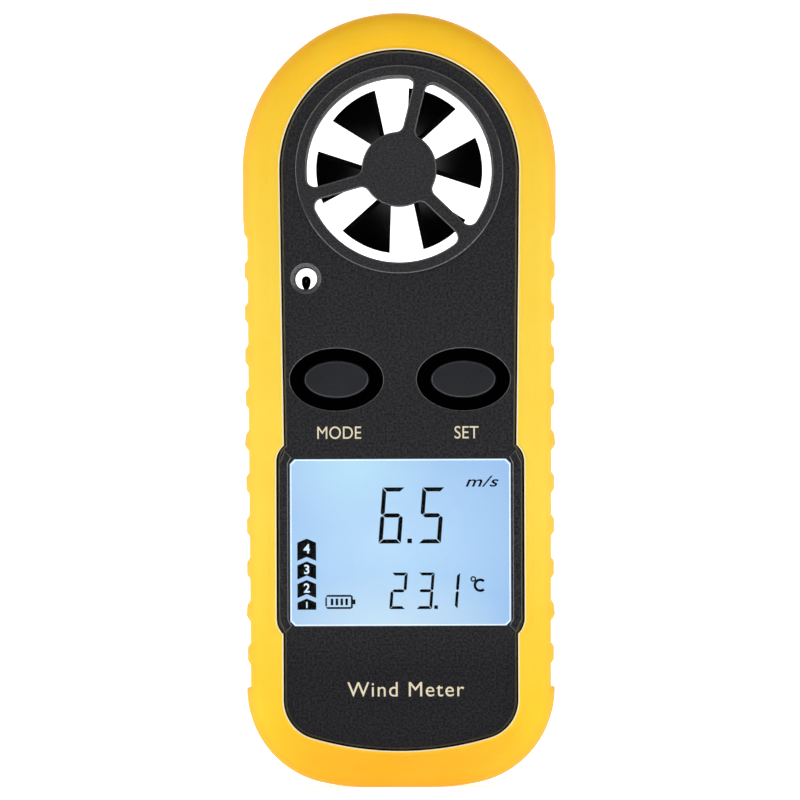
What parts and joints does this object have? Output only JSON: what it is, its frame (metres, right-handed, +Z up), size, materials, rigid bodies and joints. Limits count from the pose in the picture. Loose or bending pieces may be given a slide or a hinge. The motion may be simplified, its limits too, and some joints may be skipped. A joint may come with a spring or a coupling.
{
  "type": "handheld weather meter",
  "caption": "Pocket vane anemometer in a soft boot, with a guarded impeller, side thermistor, two keys, backlit display and a coin-slot battery cap.",
  "frame": {"origin": "middle of the foot: centred across the width and the thickness, at the lowest point", "axes": "+Z up along the length with the vane at the top; the display faces -Y; +X to the display's right"},
  "size_m": [0.0426, 0.018, 0.105],
  "materials": {
    "silicone": "satin",
    "case_plastic": "fine matt texture",
    "guard_plastic": "satin",
    "rotor_plastic": "satin",
    "key_plastic": "satin",
    "cap_plastic": "fine matt texture",
    "clear_window": "polished",
    "display_glass": "backlit",
    "frame_white": "moulded",
    "backlight": "diffusing",
    "lamp": "clear",
    "connector_rubber": "striped",
    "board_green": "solder mask",
    "chip_epoxy": "moulded",
    "capacitor_ceramic": "fired",
    "bead_black": "glossy",
    "cell_steel": "brushed",
    "contact_nickel": "plated",
    "switch_steel": "stamped",
    "switch_black": "moulded",
    "bearing_brass": "turned",
    "shaft_steel": "ground",
    "magnet_nickel": "plated",
    "seal_rubber": "matt",
    "screw_steel": "blackened"
  },
  "bodies": {
    "case": {"boot": "silicone", "front_housing": "case_plastic", "rear_housing": "case_plastic", "vane_front_guard": "guard_plastic", "vane_rear_guard": "guard_plastic", "vane_duct": "guard_plastic", "front_bearing": "bearing_brass", "rear_bearing": "bearing_brass", "mode_switch": "switch_steel", "set_switch": "switch_steel", "lcd_window": "clear_window", "lcd_glass": "display_glass", "lcd_frame": "frame_white", "backlight_panel": "backlight", "backlight_led_left": "lamp", "backlight_led_right": "lamp", "lcd_connector_upper": "connector_rubber", "lcd_connector_lower": "connector_rubber", "circuit_board": "board_green", "wind_sensor": "chip_epoxy", "main_chip": "chip_epoxy", "crystal": "switch_steel", "capacitor_1": "capacitor_ceramic", "capacitor_2": "capacitor_ceramic", "capacitor_3": "capacitor_ceramic", "capacitor_4": "capacitor_ceramic", "thermistor": "bead_black", "coin_cell": "cell_steel", "battery_contact_negative": "contact_nickel", "battery_contact_positive": "contact_nickel", "case_screw_1": "screw_steel", "case_screw_2": "screw_steel", "case_screw_3": "screw_steel", "case_screw_4": "screw_steel", "board_screw_1": "screw_steel", "board_screw_2": "screw_steel", "board_screw_3": "screw_steel"},
    "impeller": {"impeller": "rotor_plastic", "impeller_shaft": "shaft_steel", "impeller_magnet": "magnet_nickel"},
    "mode_key": {"mode_key": "key_plastic"},
    "set_key": {"set_key": "key_plastic"},
    "mode_plunger": {"mode_switch_plunger": "switch_black"},
    "set_plunger": {"set_switch_plunger": "switch_black"},
    "battery_cap": {"battery_cap": "cap_plastic", "battery_cap_seal": "seal_rubber"}
  },
  "joints": [
    {"name": "impeller_spin", "type": "hinge", "parent": "case", "child": "impeller", "pos_m": [0, 0, 0.08375], "axis": [0, 1, 0], "continuous": true},
    {"name": "mode_press", "type": "slide", "parent": "case", "child": "mode_key", "axis": [0, 1, 0], "range_m": [0, 0.0005], "stiffness_N_per_m": 1500},
    {"name": "set_press", "type": "slide", "parent": "case", "child": "set_key", "axis": [0, 1, 0], "range_m": [0, 0.0005], "stiffness_N_per_m": 1500},
    {"name": "mode_switch_travel", "type": "slide", "parent": "case", "child": "mode_plunger", "axis": [0, 1, 0], "range_m": [0, 0.0005]},
    {"name": "set_switch_travel", "type": "slide", "parent": "case", "child": "set_plunger", "axis": [0, 1, 0], "range_m": [0, 0.0005]},
    {"name": "battery_cap_turn", "type": "hinge", "parent": "case", "child": "battery_cap", "pos_m": [0, 0, 0.033], "axis": [0, 1, 0], "range_deg": [0, 60]}
  ],
  "couplings": [
    {"joint": "mode_switch_travel", "follows": "mode_press", "ratio": 1},
    {"joint": "set_switch_travel", "follows": "set_press", "ratio": 1}
  ]
}
